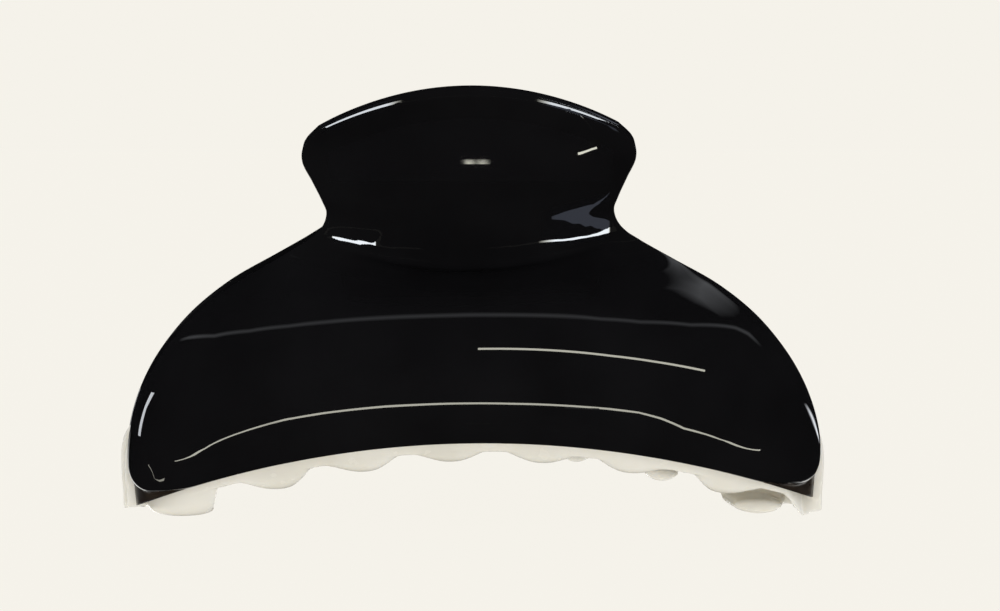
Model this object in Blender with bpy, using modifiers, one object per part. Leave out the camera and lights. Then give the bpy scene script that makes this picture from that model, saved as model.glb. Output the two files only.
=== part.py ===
"""Claw hair clip: two alike jaws on a sprung hinge.

Each jaw is a black shell with its thumb tab, over an ivory liner with a row of teeth. The front jaw faces -Y.
The clip stands on its four end teeth at z = 0. Tables are in millimetres, and the meshes are made in metres.
"""
import math
from collections import namedtuple

import bmesh
import bpy
from mathutils import Matrix, Vector

MM = 0.001
GAP = 0.3

# The jaw's black face, from the tip of the tab down to the rim over the teeth, one row for each section
# across it. edge is where a section ends at either side, and mid is on the jaw's middle. roundness is 2 for
# a flat arc and 1 for an ellipse, and wall is the shell's thickness there.
Section = namedtuple("Section", "half_width edge_z mid_z edge_y mid_y roundness wall")
SECTIONS = (
    Section(18.5, 48.6, 53.0, -14.8, -18.5, 2.0, 2.6),
    Section(20.1, 46.8, 50.7, -13.6, -16.9, 2.0, 2.6),
    Section(20.35, 44.8, 47.5, -12.3, -14.8, 2.0, 2.6),
    Section(19.4, 42.6, 43.4, -10.9, -12.3, 2.0, 2.6),
    Section(18.4, 40.3, 39.4, -9.6, -10.0, 2.0, 2.6),
    Section(17.9, 38.4, 35.6, -8.4, -8.6, 1.9, 2.5),
    Section(18.9, 36.5, 32.8, -7.5, -8.7, 1.8, 2.2),
    Section(21.4, 34.95, 31.5, -6.3, -10.2, 1.6, 1.8),
    Section(25.8, 32.35, 30.3, -4.9, -13.0, 1.45, 1.6),
    Section(31.2, 29.1, 28.7, -3.7, -16.1, 1.35, 1.5),
    Section(36.0, 25.1, 26.4, -2.9, -18.4, 1.3, 1.5),
    Section(39.8, 20.4, 23.2, -2.4, -19.7, 1.25, 1.5),
    Section(42.3, 15.8, 19.5, -2.2, -20.1, 1.2, 1.5),
    Section(43.8, 11.0, 15.8, -2.1, -19.5, 1.2, 1.5),
    Section(44.2, 6.4, 13.0, -2.0, -18.3, 1.2, 1.5),
    Section(43.9, 1.5, 10.75, -2.0, -16.6, 1.2, 1.5),
)
SHELL_ROWS = 24
SHELL_COLUMNS = 24
SHELL_EDGE_ROUND = 0.5
SHELL_EDGE_FROM_DEG = 62.0

# The ivory liner starts below the crease under the tab and ends a little below the shell's rim.
LINER_WALL = 1.4
LINER_CLEAR = 0.4
LINER_FIRST = 8.0
LINER_ROWS = 10
LINER_COLUMNS = 20
LINER_REACH = 0.93
RIM_BELOW_MIDDLE = 3.2
RIM_BELOW_ENDS = 0.3

# The lip is the liner's side edge: it turns toward the other jaw and stands proud of the shell low down.
LIP_HEIGHT = 1.8
LIP_PROUD_LOW = 0.4
LIP_PROUD_HIGH = -0.2
LIP_FADE_LOW_Z = 6.0
LIP_FADE_HIGH_Z = 15.0

# Teeth of one jaw, from its left to its right seen from outside. bottom is the height of the underside
# above the table. The first is a foot, and the liner's own right end is the other: both go a little below
# the table and are cut level.
Tooth = namedtuple("Tooth", "x root_half_width tip_half_width bottom")
FOOT_CUT = 0.15
TEETH = (
    Tooth(-37.2, 4.2, 2.1, -FOOT_CUT),
    Tooth(-24.7, 4.2, 2.1, 4.1),
    Tooth(-13.75, 4.0, 2.1, 6.5),
    Tooth(-2.75, 3.9, 2.1, 7.6),
    Tooth(8.75, 3.9, 2.1, 7.4),
    Tooth(20.0, 4.0, 2.1, 6.1),
    Tooth(32.0, 4.1, 2.1, 3.2),
)
END_FOOT_FROM_X = 40.0

# A tooth leaves the rim downward, turns level within TOOTH_TURN_REACH, is narrow from TOOTH_NARROW_BY_Y on,
# and its tip tapers over TOOTH_TIP_LENGTH to TOOTH_TIP_SHARE of its width.
TOOTH_TIP_Y = 2.5
TOOTH_TIP_LENGTH = 1.0
TOOTH_TIP_SHARE = 0.55
TOOTH_CORNER_REACH = 0.3
TOOTH_TURN_BY_Y = -1.2
TOOTH_TURN_REACH = 2.2
TOOTH_TURN_SHARE = 0.95
TOOTH_NARROW_BY_Y = -3.0
TOOTH_NARROW_REACH = 0.6
TOOTH_EMBEDDED = 0.7
TOOTH_EMBEDDED_THICK = 1.0
TOOTH_THICK = 1.7
TOOTH_TIP_THICK = 1.3
TOOTH_POINT_THICK = 0.9
TOOTH_OUTLINE = ((1, 0), (0.8, 1), (-0.8, 1), (-1, 0), (-0.8, -1), (0.8, -1))

# The hinge is a pin along X through two knuckles of each jaw. Each jaw has rolled a little to its own left
# on it, by the play that the pin leaves, so that all four feet meet the table.
HINGE_Z = 36.0
JAW_ROLL_DEG = 0.7
PIN_RADIUS = 1.4
PIN_HALF_LENGTH = 9.9
PIN_HEAD_RADIUS = 2.2
PIN_HEAD_LENGTH = 0.8
HOLE_RADIUS = PIN_RADIUS + 1.1 * GAP
KNUCKLE_RADIUS = 3.1
KNUCKLE_THICK = 2.0
KNUCKLE_ROOT_TOP_Y = -8.3
KNUCKLE_ROOT_FOOT_Y = -7.3
KNUCKLE_INNER_X = 5.55
KNUCKLE_OUTER_X = KNUCKLE_INNER_X + KNUCKLE_THICK + GAP
ROUND_SIDES = 16
TABLE_BLOCK = (0.12, 0.06, 0.01)

SPRING_WIRE_RADIUS = 0.5
SPRING_RADIUS = 2.25
SPRING_TURNS = 5
SPRING_END_X = 3.7
SPRING_POINTS_PER_TURN = 12
LEG_LEAVES_DEG = -131.0
LEG_BEND = (-6.1, 2.9)
LEG_TIP = (-9.6, 9.6)
BACK_LEG_HOLD_DEG = 200.0

BLACK = (0.006, 0.007, 0.010, 1.0)
IVORY = (0.80, 0.77, 0.70, 1.0)
STEEL = (0.62, 0.62, 0.64, 1.0)


def clear_scene():
    for old in list(bpy.data.objects):
        bpy.data.objects.remove(old, do_unlink=True)


def new_collection(name):
    collection = bpy.data.collections.new(name)
    bpy.context.scene.collection.children.link(collection)
    return collection


def new_material(name, colour, roughness, metallic):
    material = bpy.data.materials.new(name)
    material.use_nodes = True
    shader = material.node_tree.nodes["Principled BSDF"]
    shader.inputs["Base Color"].default_value = colour
    shader.inputs["Roughness"].default_value = roughness
    shader.inputs["Metallic"].default_value = metallic
    return material


def mix(a, b, share):
    return a + (b - a) * share


def eased(low, high, value):
    """0 below low, 1 above high, and smooth between them."""
    share = min(1.0, max(0.0, (value - low) / (high - low)))
    return share * share * (3.0 - 2.0 * share)


def section_at(row):
    """The section at a whole or broken row number, on a smooth curve through the table's rows."""
    last = len(SECTIONS) - 1
    first = min(int(row), last - 1)
    share = row - first
    around = [SECTIONS[min(max(first + step, 0), last)] for step in (-1, 0, 1, 2)]
    values = []
    for before, start, end, after in zip(*around):
        values.append(
            start
            + 0.5 * share * (end - before)
            + share**2 * (before - 2.5 * start + 2.0 * end - 0.5 * after)
            + share**3 * 0.5 * (3.0 * (start - end) + after - before)
        )
    return Section(*values)


def face_point(row, across):
    """A point of the black face: row as in section_at, and across from -1 at the left edge to 1."""
    section = section_at(row)
    turned = math.sin(across * math.pi / 2)
    side = mix(across, turned, 2.0 - section.roundness)
    inward = max(0.0, 1.0 - side * side)
    return Vector(
        (
            section.half_width * side,
            mix(section.edge_y, section.mid_y, inward ** (section.roundness / 2)),
            mix(section.edge_z, section.mid_z, inward),
        )
    )


def face_frame(row, across):
    """Point, outward normal and downward direction of the black face."""
    step = 0.01
    last = len(SECTIONS) - 1
    row_a, row_b = max(0.0, row - step), min(last, row + step)
    side_a, side_b = max(-1.0, across - step), min(1.0, across + step)
    down = (face_point(row_b, across) - face_point(row_a, across)).normalized()
    right = (face_point(row, side_b) - face_point(row, side_a)).normalized()
    return face_point(row, across), down.cross(right).normalized(), down


def evenly(first, last, count):
    return [mix(first, last, index / (count - 1)) for index in range(count)]


def from_hinge(point):
    """Millimetres in the jaw's own frame to metres from the middle of the hinge."""
    return Vector((point[0] * MM, point[1] * MM, (point[2] - HINGE_Z) * MM))


def new_object(name, mesh, collection, material=None, parent=None, roll=False):
    thing = bpy.data.objects.new(name, mesh)
    collection.objects.link(thing)
    if material:
        mesh.materials.append(material)
    if parent:
        thing.parent = parent
    if roll:
        thing.rotation_euler = (0.0, math.radians(-JAW_ROLL_DEG), 0.0)
    return thing


def as_cutter(thing):
    thing.hide_render = True
    thing.display_type = "WIRE"
    return thing


def mesh_from(name, points, faces, close=True):
    work = bmesh.new()
    corners = [work.verts.new(point) for point in points]
    for face in faces:
        work.faces.new([corners[index] for index in face])
    if close:
        bmesh.ops.recalc_face_normals(work, faces=work.faces)
    mesh = bpy.data.meshes.new(name)
    work.to_mesh(mesh)
    work.free()
    mesh.shade_smooth()
    return mesh


def grid_faces(rows, columns, start=0):
    faces = []
    for row in range(rows - 1):
        for column in range(columns - 1):
            a = start + row * columns + column
            faces.append((a, a + columns, a + columns + 1, a + 1))
    return faces


def two_sided_mesh(name, outer, inner):
    """A closed wall between two grids of points with the same rows and columns."""
    rows, columns = len(outer), len(outer[0])
    points = [point for grid in (outer, inner) for line in grid for point in line]
    below = rows * columns
    faces = grid_faces(rows, columns) + [face[::-1] for face in grid_faces(rows, columns, below)]
    for row in range(rows - 1):
        for column in (0, columns - 1):
            a, b = row * columns + column, (row + 1) * columns + column
            faces.append((a, b, b + below, a + below))
    for column in range(columns - 1):
        for row in (0, rows - 1):
            a = row * columns + column
            faces.append((a, a + 1, a + 1 + below, a + below))
    return mesh_from(name, points, faces)


def tube_mesh(name, points, radius):
    """A round wire with closed ends along the points, in metres."""
    curve = bpy.data.curves.new(name, "CURVE")
    curve.dimensions = "3D"
    curve.bevel_depth = radius
    curve.bevel_resolution = 1
    curve.use_fill_caps = True
    spline = curve.splines.new("POLY")
    spline.points.add(len(points) - 1)
    for slot, point in zip(spline.points, points):
        slot.co = (*point, 1.0)
    return mesh_of_curve(name, curve)


def mesh_of_curve(name, curve):
    guide = bpy.data.objects.new(name + "_guide", curve)
    bpy.context.scene.collection.objects.link(guide)
    evaluated = guide.evaluated_get(bpy.context.evaluated_depsgraph_get())
    mesh = bpy.data.meshes.new_from_object(evaluated)
    bpy.data.objects.remove(guide, do_unlink=True)
    work = bmesh.new()
    work.from_mesh(mesh)
    bmesh.ops.remove_doubles(work, verts=work.verts, dist=1e-7)
    bmesh.ops.recalc_face_normals(work, faces=work.faces)
    work.to_mesh(mesh)
    work.free()
    mesh.name = name
    mesh.shade_smooth()
    return mesh


def shell_mesh(name):
    """The black face as an open surface, with a vertex group that holds how thick each row is."""
    columns = evenly(-1.0, 1.0, SHELL_COLUMNS + 1)
    rows = evenly(0.0, len(SECTIONS) - 1, SHELL_ROWS)
    points = [from_hinge(face_point(row, across)) for row in rows for across in columns]
    walls = [section_at(row).wall for row in rows for _ in columns]
    mesh = mesh_from(name, points, grid_faces(len(rows), len(columns)), close=False)
    return mesh, walls


def knuckle_mesh(name, centres):
    """Plates with a round nose on the hinge's axis and a hole for the pin, one at each x."""
    work = bmesh.new()
    for centre in centres:
        curve = bpy.data.curves.new(name, "CURVE")
        curve.dimensions = "2D"
        curve.fill_mode = "BOTH"
        curve.extrude = KNUCKLE_THICK / 2 * MM
        nose = [math.radians(angle) for angle in range(-90, 91, 15)]
        outline = [(KNUCKLE_RADIUS * math.cos(a), KNUCKLE_RADIUS * math.sin(a)) for a in nose]
        outline += [(KNUCKLE_ROOT_TOP_Y, KNUCKLE_RADIUS), (KNUCKLE_ROOT_FOOT_Y, -KNUCKLE_RADIUS)]
        turn = [2 * math.pi * index / ROUND_SIDES for index in range(ROUND_SIDES)]
        hole = [(HOLE_RADIUS * math.cos(a), HOLE_RADIUS * math.sin(a)) for a in turn]
        for loop in (outline, hole):
            spline = curve.splines.new("POLY")
            spline.use_cyclic_u = True
            spline.points.add(len(loop) - 1)
            for slot, (y, z) in zip(spline.points, loop):
                slot.co = (y * MM, z * MM, 0.0, 1.0)
        plate = mesh_of_curve(name, curve)
        # The outline's x and y become the clip's y and z, and its thickness lies along x.
        stand_up = Matrix(((0, 0, 1, centre * MM), (1, 0, 0, 0), (0, 1, 0, 0), (0, 0, 0, 1)))
        plate.transform(stand_up)
        work.from_mesh(plate)
        bpy.data.meshes.remove(plate)
    mesh = bpy.data.meshes.new(name)
    work.to_mesh(mesh)
    work.free()
    return mesh


def rolled(point_x):
    """How much higher than in its own frame a jaw's point stands, once the jaw has rolled."""
    return point_x * math.sin(math.radians(JAW_ROLL_DEG))


def liner_section(row, below=0.0):
    """One section of the liner, its outer and its inner points from left to right.

    below is 0 on the shell's own section, and 1 at the liner's rim under it.
    """
    section = section_at(row)
    outer, inner = [], []
    for across in evenly(-LINER_REACH, LINER_REACH, LINER_COLUMNS + 1):
        point, normal, down = face_frame(row, across)
        middle = 1.0 - (point.x / section.half_width) ** 2
        lower = down * below * mix(RIM_BELOW_ENDS, RIM_BELOW_MIDDLE, middle)
        outer.append(point - normal * (section.wall + LINER_CLEAR) + lower)
        inner.append(point - normal * (section.wall + LINER_CLEAR + LINER_WALL) + lower)
    proud = mix(LIP_PROUD_LOW, LIP_PROUD_HIGH, eased(LIP_FADE_LOW_Z, LIP_FADE_HIGH_Z, section.edge_z))
    for side in (-1, 1):
        edge, normal, _ = face_frame(row, side)
        beyond = (edge - face_point(row, side * 0.99)).normalized()
        drop = Vector((0.0, 0.0, below * RIM_BELOW_ENDS))
        tip = edge + beyond * GAP + Vector((side * proud, 0.0, 0.0)) - drop
        root = edge + beyond * GAP - normal * (section.wall + LINER_CLEAR) - drop
        foot_y = section.edge_y + LIP_HEIGHT
        lip_outer = [root, tip]
        lip_inner = [
            Vector((root.x - side * LINER_WALL, foot_y, root.z)),
            Vector((tip.x, foot_y, tip.z)),
        ]
        if side > 0:
            outer, inner = outer + lip_outer, inner + lip_inner
        else:
            outer, inner = lip_outer[::-1] + outer, lip_inner[::-1] + inner
    if below:
        for point in outer + inner:
            if point.x > END_FOOT_FROM_X:
                point.z = -FOOT_CUT - rolled(point.x)
    return outer, inner


def liner_sections():
    rows = evenly(LINER_FIRST, len(SECTIONS) - 1, LINER_ROWS)
    return [liner_section(row) for row in rows] + [liner_section(rows[-1], 1.0)]


def rim_middle(x):
    """The middle of the liner's wall at its rim, at one x, and the wall's direction down to it."""
    outer, inner = liner_section(len(SECTIONS) - 1, 1.0)
    above_outer, above_inner = liner_section(len(SECTIONS) - 1)
    line = [(a + b) / 2 for a, b in zip(outer, inner)]
    above = [(a + b) / 2 for a, b in zip(above_outer, above_inner)]
    for index in range(len(line) - 1):
        if line[index].x <= x <= line[index + 1].x:
            share = (x - line[index].x) / (line[index + 1].x - line[index].x)
            point = line[index].lerp(line[index + 1], share)
            upper = above[index].lerp(above[index + 1], share)
            return point, (upper - point).normalized()
    return line[-1], Vector((0, 0, 1))


def tooth_path(tooth, level, side):
    """One line along a tooth from inside the liner's rim to its tip, side running from -1 to 1 across it."""
    root, up = rim_middle(tooth.x + side * tooth.root_half_width)
    corner_z = min(root.z - TOOTH_CORNER_REACH, level + TOOTH_THICK / 2)
    turn_y = min(TOOTH_TURN_BY_Y, root.y + TOOTH_TURN_REACH)
    narrow_y = max(TOOTH_NARROW_BY_Y, turn_y + TOOTH_NARROW_REACH)
    thick_mid = (TOOTH_THICK + TOOTH_TIP_THICK) / 2
    turn_x = mix(tooth.x, root.x, TOOTH_TURN_SHARE)
    narrow_x = tooth.x + side * tooth.tip_half_width
    tip_x = mix(tooth.x, narrow_x, TOOTH_TIP_SHARE)
    return [
        (root + up * TOOTH_EMBEDDED, TOOTH_EMBEDDED_THICK),
        (Vector((root.x, root.y + TOOTH_CORNER_REACH, corner_z)), TOOTH_THICK),
        (Vector((turn_x, turn_y, level + TOOTH_THICK / 2)), TOOTH_THICK),
        (Vector((narrow_x, narrow_y, level + thick_mid / 2)), thick_mid),
        (Vector((narrow_x, TOOTH_TIP_Y - TOOTH_TIP_LENGTH, level + TOOTH_TIP_THICK / 2)), TOOTH_TIP_THICK),
        (Vector((tip_x, TOOTH_TIP_Y, level + TOOTH_TIP_THICK / 2)), TOOTH_POINT_THICK),
    ]


def tooth_mesh(name, tooth):
    """A tongue that leaves the liner's rim downward, turns level and narrows to its tip past the middle."""
    level = tooth.bottom - rolled(tooth.x)
    lines = []
    for side, height in TOOTH_OUTLINE:
        path = tooth_path(tooth, level, side)
        line = []
        for index, (point, thick) in enumerate(path):
            before, after = path[max(index - 1, 0)][0], path[min(index + 1, len(path) - 1)][0]
            along = Vector((0.0, after.y - before.y, after.z - before.z)).normalized()
            out = Vector((1, 0, 0)).cross(along)
            line.append(from_hinge(point + out * height * thick / 2))
        lines.append(line)
    count, length = len(lines), len(lines[0])
    points = [lines[corner][ring] for ring in range(length) for corner in range(count)]
    faces = [tuple(range(count)), tuple(range(len(points) - count, len(points)))]
    for ring in range(length - 1):
        for corner in range(count):
            a, b = ring * count + corner, ring * count + (corner + 1) % count
            faces.append((a, b, b + count, a + count))
    return mesh_from(name, points, faces)


def add_boolean(thing, other, operation):
    step = thing.modifiers.new(other.name, "BOOLEAN")
    step.operation = operation
    step.solver = "EXACT"
    step.object = other


def make_shell(side, jaw, parts, cutters, material):
    mesh, walls = shell_mesh(side + "_shell")
    shell = new_object(side + "_shell", mesh, parts, material, jaw, roll=True)
    thickest = max(walls)
    group = shell.vertex_groups.new(name="wall")
    for index, wall in enumerate(walls):
        group.add([index], wall / thickest, "REPLACE")
    solid = shell.modifiers.new("wall", "SOLIDIFY")
    solid.thickness = thickest * MM
    solid.offset = -1.0
    solid.vertex_group = group.name
    solid.use_even_offset = True
    edge = shell.modifiers.new("rounded_edge", "BEVEL")
    edge.width = SHELL_EDGE_ROUND * MM
    edge.segments = 1
    edge.limit_method = "ANGLE"
    edge.angle_limit = math.radians(SHELL_EDGE_FROM_DEG)
    knuckles = knuckle_mesh(side + "_knuckles", (KNUCKLE_INNER_X, -KNUCKLE_OUTER_X))
    add_boolean(shell, as_cutter(new_object(side + "_knuckles", knuckles, cutters, parent=jaw)), "UNION")
    return shell


def make_liner(side, jaw, parts, cutters, material, table):
    sections = liner_sections()
    outer = [[from_hinge(point) for point in section[0]] for section in sections]
    inner = [[from_hinge(point) for point in section[1]] for section in sections]
    mesh = two_sided_mesh(side + "_liner", outer, inner)
    liner = new_object(side + "_liner", mesh, parts, material, jaw, roll=True)
    for number, tooth in enumerate(TEETH, 1):
        name = f"{side}_tooth_{number}"
        piece = new_object(name, tooth_mesh(name, tooth), cutters, parent=jaw, roll=True)
        add_boolean(liner, as_cutter(piece), "UNION")
    add_boolean(liner, table, "DIFFERENCE")
    return liner


def table_cutter(cutters):
    """A block under z = 0 that levels the four feet."""
    long, wide, deep = TABLE_BLOCK
    corners = [(x * long / 2, y * wide / 2, z) for z in (-deep, 0.0) for y in (-1, 1) for x in (-1, 1)]
    faces = [(0, 1, 3, 2), (4, 6, 7, 5), (0, 4, 5, 1), (2, 3, 7, 6), (0, 2, 6, 4), (1, 5, 7, 3)]
    return as_cutter(new_object("table_cutter", mesh_from("table_cutter", corners, faces), cutters))


def make_pin(parts, material):
    """A turned pin with a flat head at either end."""
    half, neck = PIN_HALF_LENGTH, PIN_HALF_LENGTH - PIN_HEAD_LENGTH
    profile = [
        (0.0, half),
        (PIN_HEAD_RADIUS, half),
        (PIN_HEAD_RADIUS, neck),
        (PIN_RADIUS, neck),
        (PIN_RADIUS, -neck),
        (PIN_HEAD_RADIUS, -neck),
        (PIN_HEAD_RADIUS, -half),
        (0.0, -half),
    ]
    mesh = bpy.data.meshes.new("hinge_pin")
    points = [(radius * MM, 0.0, along * MM) for radius, along in profile]
    mesh.from_pydata(points, [(index, index + 1) for index in range(len(points) - 1)], [])
    pin = new_object("hinge_pin", mesh, parts, material)
    turn = pin.modifiers.new("turn", "SCREW")
    turn.steps = turn.render_steps = ROUND_SIDES
    turn.use_merge_vertices = True
    turn.merge_threshold = 0.00001
    pin.location = (0.0, 0.0, HINGE_Z * MM)
    pin.rotation_euler = (0.0, math.pi / 2, 0.0)
    return pin


def around_axis(x, degrees):
    angle = math.radians(degrees)
    return (x * MM, SPRING_RADIUS * math.cos(angle) * MM, SPRING_RADIUS * math.sin(angle) * MM)


def spring_points():
    """The front leg from its tip down to the coil, then the coil's turns, from the middle of the hinge."""
    leg = [(-SPRING_END_X * MM, y * MM, z * MM) for y, z in (LEG_TIP, LEG_BEND)]
    steps = SPRING_TURNS * SPRING_POINTS_PER_TURN
    pitch = 2 * SPRING_WIRE_RADIUS + GAP
    last_x = SPRING_END_X - pitch
    coil = []
    for index in range(steps + 1):
        share = index / steps
        degrees = LEG_LEAVES_DEG + 360 * SPRING_TURNS * share
        coil.append(around_axis(mix(-SPRING_END_X, last_x, share), degrees))
    return leg + coil


def back_leg_points():
    """The back leg from its tip down to the coil, then part of a turn beside the coil's end."""
    leg = [(SPRING_END_X * MM, -y * MM, z * MM) for y, z in (LEG_TIP, LEG_BEND)]
    steps = round(SPRING_POINTS_PER_TURN * BACK_LEG_HOLD_DEG / 360)
    start = 180.0 - LEG_LEAVES_DEG
    angles = evenly(start, start - BACK_LEG_HOLD_DEG, steps + 1)
    return leg + [around_axis(SPRING_END_X, degrees) for degrees in angles]


def build():
    clear_scene()
    parts = new_collection("hair_clip")
    cutters = new_collection("cutters")
    black = new_material("black_gloss", BLACK, 0.08, 0.0)
    ivory = new_material("ivory_gloss", IVORY, 0.25, 0.0)
    steel = new_material("spring_steel", STEEL, 0.3, 1.0)
    table = table_cutter(cutters)
    for side, turn in (("front", 0.0), ("back", math.pi)):
        jaw = bpy.data.objects.new(side + "_jaw", None)
        parts.objects.link(jaw)
        jaw.location = (0.0, 0.0, HINGE_Z * MM)
        jaw.rotation_euler = (0.0, 0.0, turn)
        make_shell(side, jaw, parts, cutters, black)
        make_liner(side, jaw, parts, cutters, ivory, table)
    make_pin(parts, steel)
    wires = (("spring_coil", spring_points()), ("spring_leg", back_leg_points()))
    for name, points in wires:
        wire = new_object(name, tube_mesh(name, points, SPRING_WIRE_RADIUS * MM), parts, steel)
        wire.location = (0.0, 0.0, HINGE_Z * MM)


build()
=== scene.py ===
"""Dresses the claw clip's frame: glossy shells, moulded ivory liners with their teeth, pin and spring."""
import math
from collections import namedtuple

import bmesh
import bpy
import numpy as np
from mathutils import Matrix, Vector


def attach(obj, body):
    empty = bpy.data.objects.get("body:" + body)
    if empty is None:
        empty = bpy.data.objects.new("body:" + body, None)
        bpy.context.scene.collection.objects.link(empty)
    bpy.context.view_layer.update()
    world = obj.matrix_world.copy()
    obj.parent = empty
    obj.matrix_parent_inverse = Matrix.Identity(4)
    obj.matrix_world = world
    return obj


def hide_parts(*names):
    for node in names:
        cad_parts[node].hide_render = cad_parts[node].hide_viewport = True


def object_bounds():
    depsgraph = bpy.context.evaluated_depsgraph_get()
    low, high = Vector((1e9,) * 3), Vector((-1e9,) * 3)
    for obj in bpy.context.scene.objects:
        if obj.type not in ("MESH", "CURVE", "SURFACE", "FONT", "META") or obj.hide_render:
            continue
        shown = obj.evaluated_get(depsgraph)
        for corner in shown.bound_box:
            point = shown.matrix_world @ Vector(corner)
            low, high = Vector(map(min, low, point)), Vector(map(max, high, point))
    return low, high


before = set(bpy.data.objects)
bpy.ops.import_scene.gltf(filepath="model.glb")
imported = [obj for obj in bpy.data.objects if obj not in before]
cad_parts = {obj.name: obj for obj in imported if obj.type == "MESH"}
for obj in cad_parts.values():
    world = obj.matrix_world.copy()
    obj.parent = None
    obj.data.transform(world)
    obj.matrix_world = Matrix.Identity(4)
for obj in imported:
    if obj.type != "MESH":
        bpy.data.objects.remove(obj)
cad_box = [list(corner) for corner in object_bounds()]

MM = 0.001

# The jaw's black face in millimetres, from the tab's tip down to the rim over the teeth. edge is where a
# section ends at either side, and mid is on the jaw's middle. roundness is 2 for a flat arc and 1 for an
# ellipse, and wall is the shell's thickness.
Section = namedtuple("Section", "half_width edge_z mid_z edge_y mid_y roundness wall")
SECTIONS = np.array(
    (
        Section(18.4, 48.95, 53.5, -15.03, -18.85, 2.0, 1.62),
        Section(20.1, 46.8, 50.7, -13.6, -16.9, 2.0, 2.6),
        Section(20.35, 44.8, 47.5, -12.3, -14.8, 2.0, 2.6),
        Section(19.4, 42.6, 43.4, -10.9, -12.39, 2.0, 2.6),
        Section(18.4, 40.3, 39.4, -9.6, -10.06, 2.0, 2.6),
        Section(17.9, 38.4, 35.6, -8.4, -8.6, 1.9, 2.5),
        Section(18.9, 36.5, 32.8, -7.5, -8.7, 1.8, 2.2),
        Section(21.4, 34.95, 31.5, -6.3, -10.2, 1.6, 1.8),
        Section(25.8, 32.35, 30.3, -4.9, -13.0, 1.45, 1.6),
        Section(31.2, 29.1, 28.7, -3.7, -16.1, 1.35, 1.5),
        Section(36.0, 25.1, 26.4, -2.9, -18.4, 1.3, 1.5),
        Section(39.8, 20.4, 23.2, -2.4, -19.7, 1.25, 1.5),
        Section(42.3, 15.8, 19.5, -2.2, -20.08, 1.2, 1.5),
        Section(43.8, 11.0, 15.8, -2.1, -19.5, 1.2, 1.5),
        Section(44.2, 6.4, 13.0, -2.0, -18.3, 1.2, 1.5),
        Section(43.9, 1.5, 10.75, -2.0, -16.6, 1.2, 1.5),
    )
)
LAST_ROW = len(SECTIONS) - 1
WALL_COLUMN = Section._fields.index("wall")

HINGE_Z = 36.0
JAW_ROLL_DEG = 0.7
JAWS = (("front", 0.0), ("back", math.pi))

# How finely the face is sampled: fine steps, how far they reach from both ends, and the coarse steps between.
# Down the face they are millimetres, and across it they are shares of its width.
DOWN_STEPS = (0.16, 4.0, 0.5)
ACROSS_STEPS = (0.0028, 0.056, 0.0085)
DOWN_TABLE = 1501
ACROSS_TABLE = 1201
MEASURED_AT = 0.55

# The shell's edges, in millimetres: how far from the edge a rounding starts, and how deep it gets. The flange
# is the thin step that the raised face leaves below it at the two lower corners.
EDGE_RADIUS = 0.75
EDGE_DEPTH = 0.55
INNER_RADIUS = 0.75
INNER_DEPTH = 0.72
TIP_RADIUS = 0.14
TIP_DEPTH = 0.12
FLANGE_DEPTH = 0.85
FLANGE_LENGTH = 14.0
FLANGE_HEIGHT = 1.7
FLANGE_STEP = 0.25
FLANGE_COLOUR_FROM = 0.03
CORNER_RADIUS = 6.0

# The crease where the thumb tab meets the body. CREASE_SLOPES is its slope at each x, and CREASE_EASES is how
# much of that slope fades with each millimetre above it.
CREASE_MIDDLE_Z = 32.5
CREASE_RISE = 2.5
CREASE_HALF_WIDTH = 17.6
CREASE_SLOPES = (
    (-19.5, -17.96, -17.18, -16.24, -14.94, -13.69, -12.42, -11.58, -10.2, -5.0, -1.3, 2.3, 5.5, 8.6, 11.3,
     12.9, 14.6, 16.0, 17.3, 18.0, 19.5),
    (0.0, 0.16, 0.216, 0.297, 0.37, 0.443, 0.518, 0.54, 0.55, 0.52, 0.515, 0.492, 0.479, 0.464, 0.433,
     0.371, 0.3, 0.22, 0.12, 0.07, 0.0),
)
CREASE_EASES = (
    (-19.5, -17.18, -16.24, -14.94, -13.69, -12.42, -11.58, -10.2, -5.0, 5.5, 8.6, 11.3, 12.9, 14.6, 16.0,
     17.3, 19.5),
    (0.16, 0.16, 0.175, 0.18, 0.194, 0.219, 0.2, 0.155, 0.1, 0.1, 0.12, 0.12, 0.1, 0.085, 0.07, 0.05, 0.05),
)
CREASE_BELOW = 1.6
CREASE_LEAST = 0.1
CREASE_SOFTNESS = 0.08

# The bevel along the tab's tip: its slope at each x, and how far down it runs straight and ends.
TIP_BEVEL_SLOPES = (
    (-18.0, -17.0, -16.0, -15.0, -14.0, -12.5, -11.0, -9.5, -8.0, -5.0, 5.0, 8.3, 10.0, 12.0, 14.0, 15.0,
     16.0, 17.0, 18.0),
    (0.08, 0.142, 0.165, 0.192, 0.212, 0.241, 0.264, 0.279, 0.285, 0.4, 0.4, 0.283, 0.27, 0.242, 0.209, 0.189,
     0.16, 0.133, 0.08),
)
TIP_BEVEL_STEPS = 100
TIP_BEVEL_FLAT = 0.72
TIP_BEVEL_LENGTH = 0.95


def section_at(rows):
    """Columns of SECTIONS at whole or broken row numbers, on a smooth curve through the table's rows."""
    rows = np.asarray(rows, float)
    first = np.minimum(rows.astype(int), LAST_ROW - 1)
    share = (rows - first)[..., None]
    before, start, end, after = (SECTIONS[np.clip(first + step, 0, LAST_ROW)] for step in (-1, 0, 1, 2))
    return (
        start
        + 0.5 * share * (end - before)
        + share**2 * (before - 2.5 * start + 2.0 * end - 0.5 * after)
        + share**3 * 0.5 * (3.0 * (start - end) + after - before)
    )


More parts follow.
